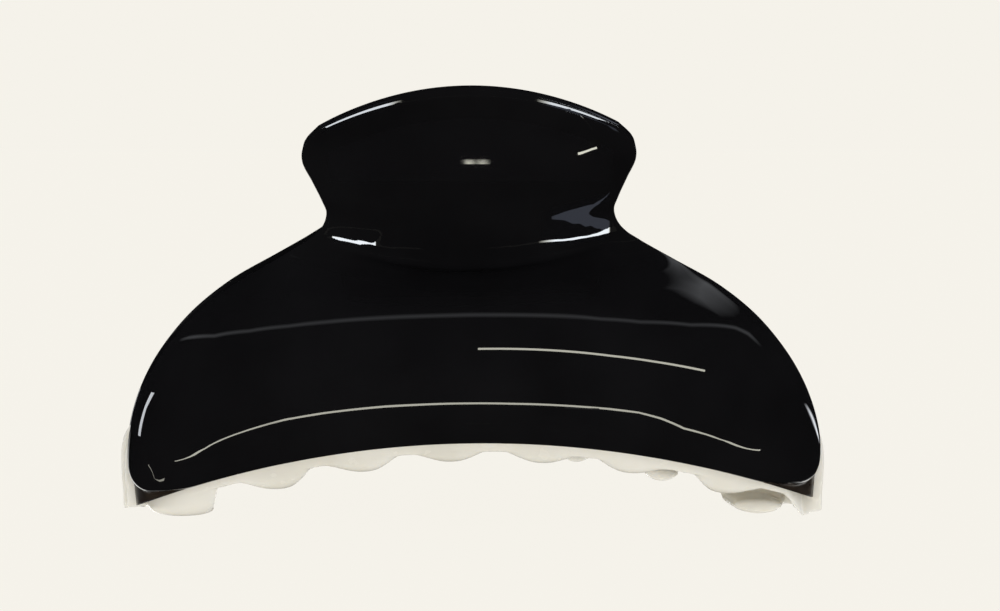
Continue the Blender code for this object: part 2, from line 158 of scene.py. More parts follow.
def face_points(rows, across):
    """Points of the black face in millimetres, in the jaw's own frame. across runs from -1 to 1."""
    rows, across = np.broadcast_arrays(np.asarray(rows, float), np.asarray(across, float))
    half_width, edge_z, mid_z, edge_y, mid_y, roundness, _ = np.moveaxis(section_at(rows), -1, 0)
    turned = np.sin(across * math.pi / 2)
    side = across + (turned - across) * (2.0 - roundness)
    inward = np.maximum(0.0, 1.0 - side * side)
    bulge = inward ** (roundness / 2)
    y, z = edge_y + (mid_y - edge_y) * bulge, edge_z + (mid_z - edge_z) * inward
    return np.stack([half_width * side, y, z], -1)


def face_normals(rows, across):
    """Outward normals of the black face."""
    rows, across = np.broadcast_arrays(np.asarray(rows, float), np.asarray(across, float))
    step = 0.004
    before, after = np.maximum(rows - step, 0), np.minimum(rows + step, LAST_ROW)
    left, right = np.maximum(across - step, -1), np.minimum(across + step, 1)
    down = face_points(after, across) - face_points(before, across)
    normal = np.cross(down, face_points(rows, right) - face_points(rows, left))
    return normal / np.linalg.norm(normal, axis=-1, keepdims=True)


def from_hinge(points, turn=0.0):
    """Millimetres from the middle of the hinge, with no roll, to metres in the clip's frame."""
    x, y, z = np.moveaxis(np.asarray(points, float), -1, 0)
    x, y = x * math.cos(turn) - y * math.sin(turn), x * math.sin(turn) + y * math.cos(turn)
    return np.stack([x, y, z + HINGE_Z], -1) * MM


def to_world(points, turn):
    """Millimetres in a jaw's own frame to metres in the clip's frame, with the jaw's roll and half turn."""
    roll = math.radians(-JAW_ROLL_DEG)
    x, y, z = np.moveaxis(np.asarray(points, float), -1, 0)
    z = z - HINGE_Z
    x, z = x * math.cos(roll) + z * math.sin(roll), z * math.cos(roll) - x * math.sin(roll)
    return from_hinge(np.stack([x, y, z], -1), turn)


class Builder:
    """Collects points, faces and each face's material slot for one mesh."""

    def __init__(self):
        self.points, self.faces, self.slots = [], [], []
        self.count = 0

    def add(self, points, faces, slots=None):
        """Adds points, and faces that count from the first of them, in the first slot or each in its own."""
        points = np.asarray(points, float).reshape(-1, 3)
        self.points.append(points)
        self.faces += [tuple(int(index) + self.count for index in face) for face in faces]
        self.slots += slots or [0] * len(faces)
        self.count += len(points)

    def mesh(self, name):
        """The smooth mesh of all that was added, with its faces turned outwards."""
        mesh = bpy.data.meshes.new(name)
        mesh.from_pydata(np.concatenate(self.points).tolist(), [], self.faces)
        mesh.polygons.foreach_set("material_index", self.slots)
        work = bmesh.new()
        work.from_mesh(mesh)
        bmesh.ops.recalc_face_normals(work, faces=work.faces)
        work.to_mesh(mesh)
        work.free()
        mesh.shade_smooth()
        return mesh


def grid_faces(rows, columns, start=0, closed=False):
    """Quads between neighbouring rows of a grid of points, joined round if closed."""
    across = columns if closed else columns - 1
    return [
        (
            start + row * columns + column,
            start + (row + 1) * columns + column,
            start + (row + 1) * columns + (column + 1) % columns,
            start + row * columns + (column + 1) % columns,
        )
        for row in range(rows - 1)
        for column in range(across)
    ]


def capped_faces(rings, sides):
    """Quads between neighbouring rings of points, with a face over the first and the last ring."""
    total = rings * sides
    ends = [tuple(range(sides)), tuple(range(total - sides, total))]
    return grid_faces(rings, sides, closed=True) + ends


def band_faces(rows, columns, below):
    """Quads that join the edges of two like grids, the second one starting at below."""
    loop = list(range(columns))
    loop += [row * columns + columns - 1 for row in range(1, rows)]
    loop += [(rows - 1) * columns + column for column in range(columns - 2, -1, -1)]
    loop += [row * columns for row in range(rows - 2, 0, -1)]
    return [(a, b, b + below, a + below) for a, b in zip(loop, loop[1:] + loop[:1])]


def walled(outer, inner):
    """Points and faces of the wall between two like grids of points. The outer grid's faces come first."""
    rows, columns = outer.shape[:2]
    below = rows * columns
    faces = grid_faces(rows, columns) + grid_faces(rows, columns, below) + band_faces(rows, columns, below)
    return np.concatenate([outer.reshape(-1, 3), inner.reshape(-1, 3)]), faces


def graded(length, fine, reach, coarse):
    """Distances from 0 to length: fine steps within reach of both ends, and coarse ones between."""
    ends = np.arange(0.0, reach, fine)
    count = max(2, int(round((length - 2 * reach) / coarse)))
    middle = np.linspace(reach, length - reach, count + 1)
    return np.concatenate([ends, middle, (length - ends)[::-1]])


def rounding(distance, radius, depth):
    """How far a face drops within radius of its edge, along an ellipse."""
    share = np.clip((radius - distance) / radius, 0.0, 1.0)
    return depth * (1.0 - np.sqrt(1.0 - share * share))


def lengths(points, axis):
    """Distance of each point from the first one, along the lines of points that run in axis."""
    steps = np.linalg.norm(np.diff(points, axis=axis), axis=-1)
    zero = np.zeros_like(np.take(steps, [0], axis=axis))
    return np.cumsum(np.concatenate([zero, steps], axis=axis), axis=axis)


def even_rows():
    """Row numbers that lie evenly, by distance, down the face, finer at both ends."""
    table = np.linspace(0, LAST_ROW, DOWN_TABLE)
    length = lengths(face_points(table, MEASURED_AT), 0)
    return np.interp(graded(length[-1], *DOWN_STEPS), length, table)


def even_across(rows):
    """For each row, positions across it that lie evenly by distance, finer at both sides."""
    table = np.linspace(-1.0, 1.0, ACROSS_TABLE)
    shares = graded(1.0, *ACROSS_STEPS)
    result = []
    for row in rows:
        length = lengths(face_points(np.full_like(table, row), table), 0)
        result.append(np.interp(shares * length[-1], length, table))
    return np.array(result)


def ease(low, high, value):
    """A smooth step from 0 at low to 1 at high, even where high lies below low."""
    share = np.clip((value - low) / (high - low), 0.0, 1.0)
    return share * share * (3.0 - 2.0 * share)


def crease_drop(face):
    """Depth of the smiling crease where the thumb tab meets the body. It fades out at its two ends."""
    x = face[..., 0]
    above = face[..., 2] - (CREASE_MIDDLE_Z + CREASE_RISE * (x / CREASE_HALF_WIDTH) ** 2)
    distance = np.sqrt(above**2 + CREASE_SOFTNESS**2) - CREASE_SOFTNESS
    slope = np.interp(x, *CREASE_SLOPES)
    length = np.maximum(slope / np.interp(x, *CREASE_EASES), CREASE_LEAST)
    reach = np.where(above > 0, length, CREASE_BELOW)
    return slope * length / 2 * np.clip(1.0 - distance / reach, 0.0, 1.0) ** 2


def tip_bevel_drop(face, top):
    """Depth of the soft bevel along the tip of the thumb tab, steepest in the middle."""
    steps = np.linspace(0.0, TIP_BEVEL_LENGTH, TIP_BEVEL_STEPS + 1)
    slope = 1.0 - ease(TIP_BEVEL_FLAT, TIP_BEVEL_LENGTH, steps)
    depth = np.append(np.cumsum((slope * TIP_BEVEL_LENGTH / TIP_BEVEL_STEPS)[::-1])[::-1], 0.0)
    depth = np.interp(top, np.append(steps, TIP_BEVEL_LENGTH + 0.02), depth)
    return np.interp(face[..., 0], *TIP_BEVEL_SLOPES) * depth


def shell_arrays():
    """Outer and inner points of the shell, and the distance of each point inside the raised face's outline."""
    rows = even_rows()
    across = even_across(rows)
    rows = np.broadcast_to(rows[:, None], across.shape)
    face, normal = face_points(rows, across), face_normals(rows, across)
    wall = section_at(rows)[..., WALL_COLUMN]
    along, down = lengths(face, 1), lengths(face, 0)
    side = np.minimum(along, along[:, -1:] - along)
    top, bottom = down, down[-1:] - down
    # The raised face ends above the shell's own rim near the lower corners, and leaves a flange there.
    lifted = bottom - FLANGE_HEIGHT * (1.0 - ease(0.0, FLANGE_LENGTH, side))
    corner = CORNER_RADIUS
    round_off = corner - np.hypot(np.maximum(corner - side, 0.0), np.maximum(corner - lifted, 0.0))
    inside = np.where((side < corner) & (lifted < corner), round_off, np.minimum(side, lifted))
    inside = np.minimum(inside, side)
    drop = rounding(np.maximum(inside, 0.0), EDGE_RADIUS, EDGE_DEPTH)
    drop = np.maximum(drop, rounding(top, TIP_RADIUS, TIP_DEPTH))
    drop = drop + (FLANGE_DEPTH - EDGE_DEPTH) * ease(0.0, FLANGE_STEP, -inside)
    drop = drop + crease_drop(face) + tip_bevel_drop(face, top)
    edge = np.minimum(np.minimum(side, top), bottom)
    drop_inner = rounding(edge, INNER_RADIUS, INNER_DEPTH)
    outer = face - normal * drop[..., None]
    inner = face - normal * (wall - drop_inner)[..., None]
    return outer, inner, inside


# The hinge knuckles and the pin's hole, in millimetres from the middle of the hinge.
KNUCKLE_RADIUS = 3.1
KNUCKLE_THICK = 2.0
KNUCKLE_GAP = 0.3
KNUCKLE_ROOT_TOP_Y = -8.3
KNUCKLE_ROOT_FOOT_Y = -7.3
KNUCKLE_INNER_X = 5.55
KNUCKLE_OUTER_X = KNUCKLE_INNER_X + KNUCKLE_THICK + KNUCKLE_GAP
KNUCKLE_EDGE = 0.2
KNUCKLE_CORNERS = 96
NOSE_CORNERS = 49
FLAT_CORNERS = 16
PIN_RADIUS = 1.4
PIN_CLEARANCE = 0.33
HOLE_RADIUS = PIN_RADIUS + PIN_CLEARANCE


def knuckle_points(centre, turn):
    """One knuckle as an even grid of rings: hole, chamfer, face, rounded edge, and back."""
    nose = np.linspace(-math.pi / 2, math.pi / 2, NOSE_CORNERS)
    outline = [(KNUCKLE_RADIUS * math.cos(a), KNUCKLE_RADIUS * math.sin(a)) for a in nose]
    outline += [(y, KNUCKLE_RADIUS) for y in np.linspace(0.0, KNUCKLE_ROOT_TOP_Y, FLAT_CORNERS)[1:]]
    left = KNUCKLE_CORNERS - len(outline) - FLAT_CORNERS
    back = np.linspace(KNUCKLE_RADIUS, -KNUCKLE_RADIUS, left + 2)[1:-1]
    lean = (KNUCKLE_ROOT_FOOT_Y - KNUCKLE_ROOT_TOP_Y) / (2 * KNUCKLE_RADIUS)
    outline += [(KNUCKLE_ROOT_TOP_Y + (KNUCKLE_RADIUS - z) * lean, z) for z in back]
    outline += [(y, -KNUCKLE_RADIUS) for y in np.linspace(KNUCKLE_ROOT_FOOT_Y, 0.0, FLAT_CORNERS)[:-1]]
    outline = np.array(outline)
    angle = np.arctan2(outline[:, 1], outline[:, 0])
    hole = HOLE_RADIUS * np.stack([np.cos(angle), np.sin(angle)], -1)
    inward = outline - outline / np.linalg.norm(outline, axis=1, keepdims=True) * KNUCKLE_EDGE
    open_hole = hole * (HOLE_RADIUS + KNUCKLE_EDGE) / HOLE_RADIUS
    half = KNUCKLE_THICK / 2
    rings = []
    for line, x in (
        (hole, half - KNUCKLE_EDGE), (open_hole, half), (inward, half), (outline, half - KNUCKLE_EDGE),
        (outline, KNUCKLE_EDGE - half), (inward, -half), (open_hole, -half), (hole, KNUCKLE_EDGE - half),
    ):
        rings.append(np.stack([np.full(len(line), centre + x), line[:, 0], line[:, 1]], -1))
    count = len(outline)
    faces = grid_faces(len(rings), count, closed=True)
    last = (len(rings) - 1) * count
    faces += [(last + i, i, (i + 1) % count, last + (i + 1) % count) for i in range(count)]
    return from_hinge(np.concatenate(rings), turn), faces


def make_shell(side, turn, black, flange):
    """One jaw's black layer with its two knuckles. The flange under the raised face has a colour of its own."""
    outer, inner, inside = shell_arrays()
    corners = (inside[:-1, :-1] + inside[1:, :-1] + inside[:-1, 1:] + inside[1:, 1:]) / 4
    slots = (corners < -FLANGE_COLOUR_FROM).astype(int).ravel().tolist()
    points, faces = walled(outer, inner)
    build = Builder()
    build.add(to_world(points, turn), faces, slots + [0] * (len(faces) - len(slots)))
    for centre in (KNUCKLE_INNER_X, -KNUCKLE_OUTER_X):
        build.add(*knuckle_points(centre, turn))
    name = side + "_shell_skin"
    new_piece(name, build.mesh(name), side + "_jaw", "black_gloss", (black, flange), side + "_shell")


def new_piece(name, mesh, body, slot, materials, *replaced):
    """Puts a mesh in the scene as the piece that stands for the replaced nodes of one body."""
    piece = bpy.data.objects.new(name, mesh)
    bpy.context.scene.collection.objects.link(piece)
    for material in materials:
        mesh.materials.append(material)
    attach(piece, body)
    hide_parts(*replaced)


# The liner, in millimetres as in the solids. It starts at row LINER_FIRST of the face, covers LINER_REACH of
# its width, and ends in a lip at either side and a rim below the black face.
LINER_WALL = 1.4
LINER_CLEAR = 0.4
LINER_FIRST = 8.0
LINER_ROWS = 46
LINER_COLUMNS = 81
LINER_REACH = 0.93
RIM_BELOW_MIDDLE = 3.2
RIM_BELOW_ENDS = 0.3
RIM_SHARES = (0.25, 0.5, 0.75, 1.0)
LIP_BEYOND = 0.3
LIP_HEIGHT = 1.8
LIP_PROUD_LOW = 0.4
LIP_PROUD_HIGH = -0.2
LIP_FADE_LOW_Z = 6.0
LIP_FADE_HIGH_Z = 15.0
LIP_HIDES_FROM_Z = 8.5
LIP_HIDES_BY_Z = 13.5
LIP_HIDDEN = 1.6
LIP_THINNED = 0.35
# The rim's right end reaches down level as a foot, and so does the first tooth at the left.
FOOT_FROM_X = 39.4
FOOT_BY_X = 41.8
FOOT_LEVEL = -0.15
FOOT_FORWARD = 1.8
FOOT_FORWARD_FADE = 2.5
FOOT_END_X = 44.5
FOOT_END_RADIUS = 0.8
# The teeth, from left to right. Each is a tongue that leaves the rim, bends level and ends in a round tip.
Tooth = namedtuple("Tooth", "x root_half_width level_half_width tip_half_width bottom lean")
TEETH = (
    Tooth(-37.0, 5.4, 4.0, 2.9, 0.0, 0.0),
    Tooth(-24.7, 6.3, 2.5, 2.1, 4.15, -0.9),
    Tooth(-13.75, 6.3, 2.4, 2.1, 6.6, -0.8),
    Tooth(-2.75, 6.2, 2.3, 2.0, 7.95, -0.5),
    Tooth(8.75, 6.2, 2.3, 2.0, 7.75, 0.1),
    Tooth(20.0, 6.2, 2.4, 2.1, 6.3, 0.5),
    Tooth(32.0, 6.2, 2.6, 2.2, 3.3, 0.9),
)
# A tooth lies level from the share TOOTH_BENT_BY of its way, and rounds off from TOOTH_ROUND_FROM of the rest.
# TOOTH_BEND is how far inside and below the rim the corner of its bend lies.
TOOTH_RINGS = 34
TOOTH_CORNERS = 44
TOOTH_ROOT_UP = 0.5
TOOTH_BEND = 0.3
TOOTH_BENT_BY = 0.4
TOOTH_TURN_BY_Y = -1.2
TOOTH_TURN_REACH = 1.6
TOOTH_TIP_Y = 2.5
TOOTH_ROUND_FROM = 0.82
TOOTH_ROUND_LENGTH = 0.18
TOOTH_END_WIDTH = 0.15
TOOTH_END_THICK = 0.3
TOOTH_ROOT_THICK = 1.3
TOOTH_THICK = 1.8
TOOTH_TIP_THICK = 1.75
TOOTH_FLARE = 1.8
VOXEL = 0.24
SMOOTH_SHARE = 0.5
SMOOTH_ROUNDS = 8


def rolled(x):
    """How much the jaw's roll lifts a point at x."""
    return x * math.sin(math.radians(JAW_ROLL_DEG))


def liner_line(row, below):
    """Outer and inner points across the liner at one row, from its left lip to its right lip.

    below is how much of the way down from the face's last row to the rim they lie, from 0 to 1.
    """
    half_width, edge_z, _, edge_y, _, _, wall = section_at(row)
    across = np.linspace(-LINER_REACH, LINER_REACH, LINER_COLUMNS)
    rows = np.full_like(across, row)
    face, normal = face_points(rows, across), face_normals(rows, across)
    down = face - face_points(rows - 0.02, across)
    down /= np.linalg.norm(down, axis=1, keepdims=True)
    middle = 1.0 - (face[:, 0] / half_width) ** 2
    lower = down * (below * (RIM_BELOW_ENDS + (RIM_BELOW_MIDDLE - RIM_BELOW_ENDS) * middle))[:, None]
    outer = face - normal * (wall + LINER_CLEAR) + lower
    inner = face - normal * (wall + LINER_CLEAR + LINER_WALL) + lower
    # The lips stand proud of the face low down, and draw back behind it further up.
    proud = LIP_PROUD_LOW + (LIP_PROUD_HIGH - LIP_PROUD_LOW) * ease(LIP_FADE_LOW_Z, LIP_FADE_HIGH_Z, edge_z)
    hidden = ease(LIP_HIDES_FROM_Z, LIP_HIDES_BY_Z, edge_z)
    proud = proud - LIP_HIDDEN * hidden
    lip_height = LIP_HEIGHT * (1.0 - LIP_THINNED * hidden)
    for side in (-1, 1):
        edge, edge_normal = face_points(row, side), face_normals(row, side)
        beyond = edge - face_points(row, side * 0.99)
        beyond /= np.linalg.norm(beyond)
        drop = np.array([0.0, 0.0, below * RIM_BELOW_ENDS])
        tip = edge + beyond * LIP_BEYOND + np.array([side * proud, 0.0, 0.0]) - drop
        root = edge + beyond * LIP_BEYOND - edge_normal * (wall + LINER_CLEAR) - drop
        foot_y = edge_y + lip_height
        lip_outer = [root, tip]
        lip_inner = [(root[0] - side * LINER_WALL, foot_y, root[2]), (tip[0], foot_y, tip[2])]
        if side > 0:
            outer = np.concatenate([outer, lip_outer])
            inner = np.concatenate([inner, lip_inner])
        else:
            outer = np.concatenate([lip_outer[::-1], outer])
            inner = np.concatenate([lip_inner[::-1], inner])
    if below:
        both = np.concatenate([outer, inner])
        foot = ease(FOOT_FROM_X, FOOT_BY_X, both[:, 0])
        level = np.minimum(both[:, 2], FOOT_LEVEL - rolled(both[:, 0]))
        level = level + rounding(FOOT_END_X - both[:, 0], FOOT_END_RADIUS, FOOT_END_RADIUS)
        both[:, 2] += (level - both[:, 2]) * foot * below
        forward = foot * below * ease(FOOT_END_X, FOOT_END_X - FOOT_FORWARD_FADE, both[:, 0])
        both[:, 1] -= FOOT_FORWARD * forward
        outer, inner = both[: len(outer)], both[len(outer):]
    return outer, inner


def liner_lines():
    """The liner's lines from its upper end to its rim."""
    rows = np.linspace(LINER_FIRST, LAST_ROW, LINER_ROWS)
    lines = [liner_line(row, 0.0) for row in rows]
    return lines + [liner_line(float(LAST_ROW), share) for share in RIM_SHARES]


def tooth_points(tooth, rim, rim_up):
    """A tongue with oval sections that flares out of the rim, turns level and runs to a rounded tip."""
    level = tooth.bottom - rolled(tooth.x)
    turns = np.linspace(0, 2 * math.pi, TOOTH_CORNERS, endpoint=False)
    side, over = np.cos(turns), np.sin(turns)
    centre_y = np.interp(tooth.x, rim[:, 0], rim[:, 1])
    end_y = min(TOOTH_TURN_BY_Y, centre_y + TOOTH_BEND + TOOTH_TURN_REACH)
    rings = []
    for share in np.linspace(0.0, 1.0, TOOTH_RINGS):
        # The bend takes the first part of the way, and the run to the tip takes the rest.
        turned = min(1.0, share / TOOTH_BENT_BY)
        run = ease(0.0, 1.0, (share - TOOTH_BENT_BY) / (1.0 - TOOTH_BENT_BY)) if share > TOOTH_BENT_BY else 0.0
        flare = (1.0 - turned) ** TOOTH_FLARE
        tip = math.sqrt(max(0.0, 1.0 - (max(0.0, run - TOOTH_ROUND_FROM) / TOOTH_ROUND_LENGTH) ** 2))
        half = tooth.level_half_width + (tooth.root_half_width - tooth.level_half_width) * flare
        half = (half + (tooth.tip_half_width - half) * run) * max(tip, TOOTH_END_WIDTH)
        thick = TOOTH_THICK + (TOOTH_ROOT_THICK - TOOTH_THICK) * (1.0 - turned)
        thick = (thick + (TOOTH_TIP_THICK - thick) * run) * max(tip, TOOTH_END_THICK) ** 0.5
        x = tooth.x + tooth.lean * flare + side * half
        on_rim, up = (
            np.stack([np.interp(x, rim[:, 0], line[:, axis]) for axis in (1, 2)], -1) for line in (rim, rim_up)
        )
        start = on_rim + up * TOOTH_ROOT_UP
        middle = np.full(TOOTH_CORNERS, level + thick / 2)
        corner_y = (on_rim[:, 0] + centre_y) / 2 + TOOTH_BEND
        corner = np.stack([corner_y, np.minimum(on_rim[:, 1] - TOOTH_BEND, middle)], -1)
        end = np.stack([np.full(TOOTH_CORNERS, end_y), middle], -1)
        path = (1 - turned) ** 2 * start + 2 * turned * (1 - turned) * corner + turned**2 * end
        heading = (1 - turned) * (corner - start) + turned * (end - corner)
        path[:, 0] += (TOOTH_TIP_Y - path[:, 0]) * run
        heading /= np.maximum(np.linalg.norm(heading, axis=1, keepdims=True), 1e-6)
        lift = over * thick / 2
        rings.append(np.stack([x, path[:, 0] - heading[:, 1] * lift, path[:, 1] + heading[:, 0] * lift], -1))
    return np.concatenate(rings), capped_faces(TOOTH_RINGS, TOOTH_CORNERS)


def make_liner(side, turn, ivory):
    """One jaw's ivory layer with its teeth, moulded into one form."""
    outer, inner = (np.array(points) for points in zip(*liner_lines()))
    points, faces = walled(outer, inner)
    build = Builder()
    build.add(to_world(points, turn), faces)
    face_end = -1 - len(RIM_SHARES)
    rim = (outer[-1] + inner[-1]) / 2
    above = (outer[face_end] + inner[face_end]) / 2
    order = np.argsort(rim[:, 0])
    rim, above = rim[order], above[order]
    rim_up = (above - rim) / np.maximum(np.linalg.norm(above - rim, axis=1, keepdims=True), 1e-6)
    for tooth in TEETH:
        points, faces = tooth_points(tooth, rim, rim_up)
        build.add(to_world(points, turn), faces)
    name = side + "_liner_skin"
    mesh = moulded(build.mesh(side + "_liner_raw"), name)
    new_piece(name, mesh, side + "_jaw", "ivory_gloss", (ivory,), side + "_liner")


def moulded(mesh, name):
    """Fuses overlapping closed forms into one, softens where they meet, and keeps it in the CAD model's box."""
    guide = bpy.data.objects.new(name, mesh)
    bpy.context.scene.collection.objects.link(guide)
    fuse = guide.modifiers.new("fuse", "REMESH")
    fuse.mode = "VOXEL"
    fuse.voxel_size = VOXEL * MM
    soften = guide.modifiers.new("soften", "SMOOTH")
    soften.factor = SMOOTH_SHARE
    soften.iterations = SMOOTH_ROUNDS
    graph = bpy.context.evaluated_depsgraph_get()
    result = bpy.data.meshes.new_from_object(guide.evaluated_get(graph))
    bpy.data.objects.remove(guide, do_unlink=True)
    result.name = name
    points = np.empty(len(result.vertices) * 3)
    result.vertices.foreach_get("co", points)
    points = np.clip(points.reshape(-1, 3), cad_box[0], cad_box[1])
    result.vertices.foreach_set("co", points.ravel())
    result.shade_smooth()
    return result


# The pin and the spring, in millimetres from the middle of the hinge.
PIN_HALF_LENGTH = 9.9
PIN_HEAD_RADIUS = 2.2
PIN_HEAD_LENGTH = 0.8
PIN_HEAD = ((0.0, 0.97), (0.06, 1.0), (0.45, 1.0), (0.7, 0.94), (0.88, 0.8), (0.97, 0.55), (1.0, 0.2))
PIN_FILLET_LENGTH = 0.15
PIN_FILLET_RISE = 0.12
PIN_SIDES = 48
SPRING_WIRE_RADIUS = 0.5
SPRING_WIRE_SIDES = 20
SPRING_WIRE_STEP = 0.14
CAP_FROM = 0.15
CAP_RINGS = 4
SPRING_RADIUS = 2.25
SPRING_TURNS = 5
SPRING_TURN_STEPS = 60
SPRING_GAP = 0.3
SPRING_END_X = 3.7
LEG_LEAVES_DEG = -131.0
LEG_BEND = (-6.1, 2.9)
LEG_TIP = (-9.6, 9.6)
BACK_LEG_HOLD_DEG = 200.0
BACK_LEG_STEPS = 34
BEND_ROUNDS = 60


def make_pin(steel):
    """The pin, turned about the hinge's axis from (along, radius) pairs, with a domed head at each end."""
    neck = PIN_HALF_LENGTH - PIN_HEAD_LENGTH
    half = [(0.0, PIN_RADIUS), (neck - PIN_FILLET_LENGTH, PIN_RADIUS), (neck, PIN_RADIUS + PIN_FILLET_RISE)]
    half += [(neck + PIN_HEAD_LENGTH * along, PIN_HEAD_RADIUS * radius) for along, radius in PIN_HEAD]
    profile = [(-along, radius) for along, radius in half[:0:-1]] + half
    turns = np.linspace(0, 2 * math.pi, PIN_SIDES, endpoint=False)
    rings = [
        np.stack([np.full(PIN_SIDES, along), radius * np.cos(turns), radius * np.sin(turns)], -1)
        for along, radius in profile
    ]
    build = Builder()
    build.add(from_hinge(np.concatenate(rings)), capped_faces(len(rings), PIN_SIDES))
    name = "hinge_pin_turned"
    new_piece(name, build.mesh(name), "front_jaw", "spring_steel", (steel,), "hinge_pin")


def tube(points, radius, sides):
    """A round wire along points, with domed ends."""
    along = np.gradient(points, axis=0)
    along /= np.linalg.norm(along, axis=1, keepdims=True)
    side = np.cross(along[0], [1.0, 0.0, 0.0] if abs(along[0][0]) < 0.9 else [0.0, 1.0, 0.0])
    rings = []
    turns = np.linspace(0, 2 * math.pi, sides, endpoint=False)
    cap = [(-math.cos(a), math.sin(a)) for a in np.linspace(CAP_FROM, math.pi / 2, CAP_RINGS + 1)[:-1]]
    frames = []
    for direction in along:
        side = side - direction * np.dot(side, direction)
        side /= np.linalg.norm(side)
        frames.append((side.copy(), np.cross(direction, side)))
    for place, share in cap:
        rings.append((points[0] + along[0] * radius * (1 + place), frames[0], share))
    for point, axes in zip(points[1:-1], frames[1:-1]):
        rings.append((point, axes, 1.0))
    for place, share in cap[::-1]:
        rings.append((points[-1] - along[-1] * radius * (1 + place), frames[-1], share))
    made = [
        centre + radius * share * (np.cos(turns)[:, None] * axes[0] + np.sin(turns)[:, None] * axes[1])
        for centre, axes, share in rings
    ]
    return np.concatenate(made), capped_faces(len(made), sides)


def softened(points):
    """Evenly spaced points along a bent line, with its bends eased."""
    length = lengths(points, 0)
    steps = np.linspace(0, length[-1], int(length[-1] / SPRING_WIRE_STEP))
    line = np.stack([np.interp(steps, length, points[:, axis]) for axis in range(3)], -1)
    for _ in range(BEND_ROUNDS):
        line[1:-1] += 0.5 * ((line[:-2] + line[2:]) / 2 - line[1:-1])
    return line


def around_axis(x, degrees):
    """Points on the spring's coil, at x along the hinge's axis and degrees round it."""
    angle = np.radians(degrees)
    return np.stack([x, SPRING_RADIUS * np.cos(angle), SPRING_RADIUS * np.sin(angle)], -1)


def make_wire(name, leg, coil, body, steel, replaced):
    """A piece of spring wire along the leg's points and then round the coil."""
    line = softened(np.concatenate([leg, coil]))
    points, faces = tube(line, SPRING_WIRE_RADIUS, SPRING_WIRE_SIDES)
    build = Builder()
    build.add(from_hinge(points), faces)
    new_piece(name, build.mesh(name), body, "spring_steel", (steel,), replaced)


def make_spring(steel):
    """The coil with the leg that pushes the front tab, and the other leg, which turns with the back jaw."""
    share = np.linspace(0, 1, SPRING_TURNS * SPRING_TURN_STEPS + 1)
    last_x = SPRING_END_X - (2 * SPRING_WIRE_RADIUS + SPRING_GAP)
    coil_x = -SPRING_END_X + (last_x + SPRING_END_X) * share
    coil = around_axis(coil_x, LEG_LEAVES_DEG + 360 * SPRING_TURNS * share)
    leg = ((-SPRING_END_X, *LEG_TIP), (-SPRING_END_X, *LEG_BEND))
    make_wire("spring_coil_wire", leg, coil, "front_jaw", steel, "spring_coil")
    start = 180.0 - LEG_LEAVES_DEG
    angles = np.linspace(start, start - BACK_LEG_HOLD_DEG, BACK_LEG_STEPS)
    hold = around_axis(np.full(BACK_LEG_STEPS, SPRING_END_X), angles)
    leg = ((SPRING_END_X, -LEG_TIP[0], LEG_TIP[1]), (SPRING_END_X, -LEG_BEND[0], LEG_BEND[1]))
    make_wire("spring_leg_wire", leg, hold, "back_jaw", steel, "spring_leg")


class Nodes:
    """The nodes of a material or the world, made and joined by name."""

    def __init__(self, owner, empty=False):
        owner.use_nodes = True
        self.owner, self.tree = owner, owner.node_tree
        if empty:
            self.tree.nodes.clear()
        self.shader = self.tree.nodes.get("Principled BSDF")

    def make(self, kind, inputs=None, **settings):
        """A new node with its settings, and with values for some of its inputs."""
        node = self.tree.nodes.new("ShaderNode" + kind)
        for name, value in settings.items():
            setattr(node, name, value)
        for name, value in (inputs or {}).items():
            node.inputs[name].default_value = value
        return node

    def join(self, output, target):
        self.tree.links.new(output, target)

    def fill(self, node, *values):
        """Sets or joins a node's inputs in their order, and gives its first output."""
        for socket, value in zip(node.inputs, values):
            if isinstance(value, float):
                socket.default_value = value
            else:
                self.join(value, socket)
        return node.outputs[0]

    def place(self):
        """The point in the piece's own frame, in metres."""
        return self.make("TexCoord").outputs["Object"]

    def feed(self, name, output):
        """Joins output to the shader's own socket of that name."""
        self.join(output, self.shader.inputs[name])

    def noise(self, scale, detail, roughness=0.5, stretch=(1, 1, 1)):
        spread = self.make("Mapping", {"Scale": stretch})
        self.join(self.place(), spread.inputs["Vector"])
        node = self.make("TexNoise", {"Scale": scale, "Detail": detail, "Roughness": roughness})
        self.join(spread.outputs["Vector"], node.inputs["Vector"])
        return node.outputs["Fac"]

    def ramp(self, source, stops):
        """Colours or grey values at places along source, faded from one to the next."""
        node = self.make("ValToRGB")
        bands = node.color_ramp.elements
        for index, (place, colour) in enumerate(stops):
            band = bands[index] if index < len(bands) else bands.new(place)
            band.position = place
            band.color = colour if isinstance(colour, tuple) else (colour, colour, colour, 1.0)
        self.join(source, node.inputs["Fac"])
        return node.outputs["Color"]

    def math(self, operation, *values):
        return self.fill(self.make("Math", operation=operation), *values)

    def mix(self, share, first, second):
        return self.fill(self.make("MixShader"), share, first, second)

    def between(self, source, start, end):
        """0 before start and 1 past end, even where end lies below start."""
        return self.fill(self.make("MapRange"), source, start, end)

    def both(self, first, second):
        return self.math("MULTIPLY", first, second)

    def either(self, first, second):
        return self.math("MAXIMUM", first, second)

    def window(self, source, rise, fall):
        """1 past rise and 0 again past fall, each a pair of places to fade between."""
        return self.both(self.between(source, *rise), self.between(source, *fall))

    def bump(self, source, distance, strength, normal=None):
        node = self.make("Bump", {"Distance": distance, "Strength": strength})
        self.join(source, node.inputs["Height"])
        if normal is not None:
            self.join(normal, node.inputs["Normal"])
        return node.outputs["Normal"]

    def set(self, **values):
        for name, value in values.items():
            self.shader.inputs[name.replace("_", " ")].default_value = value


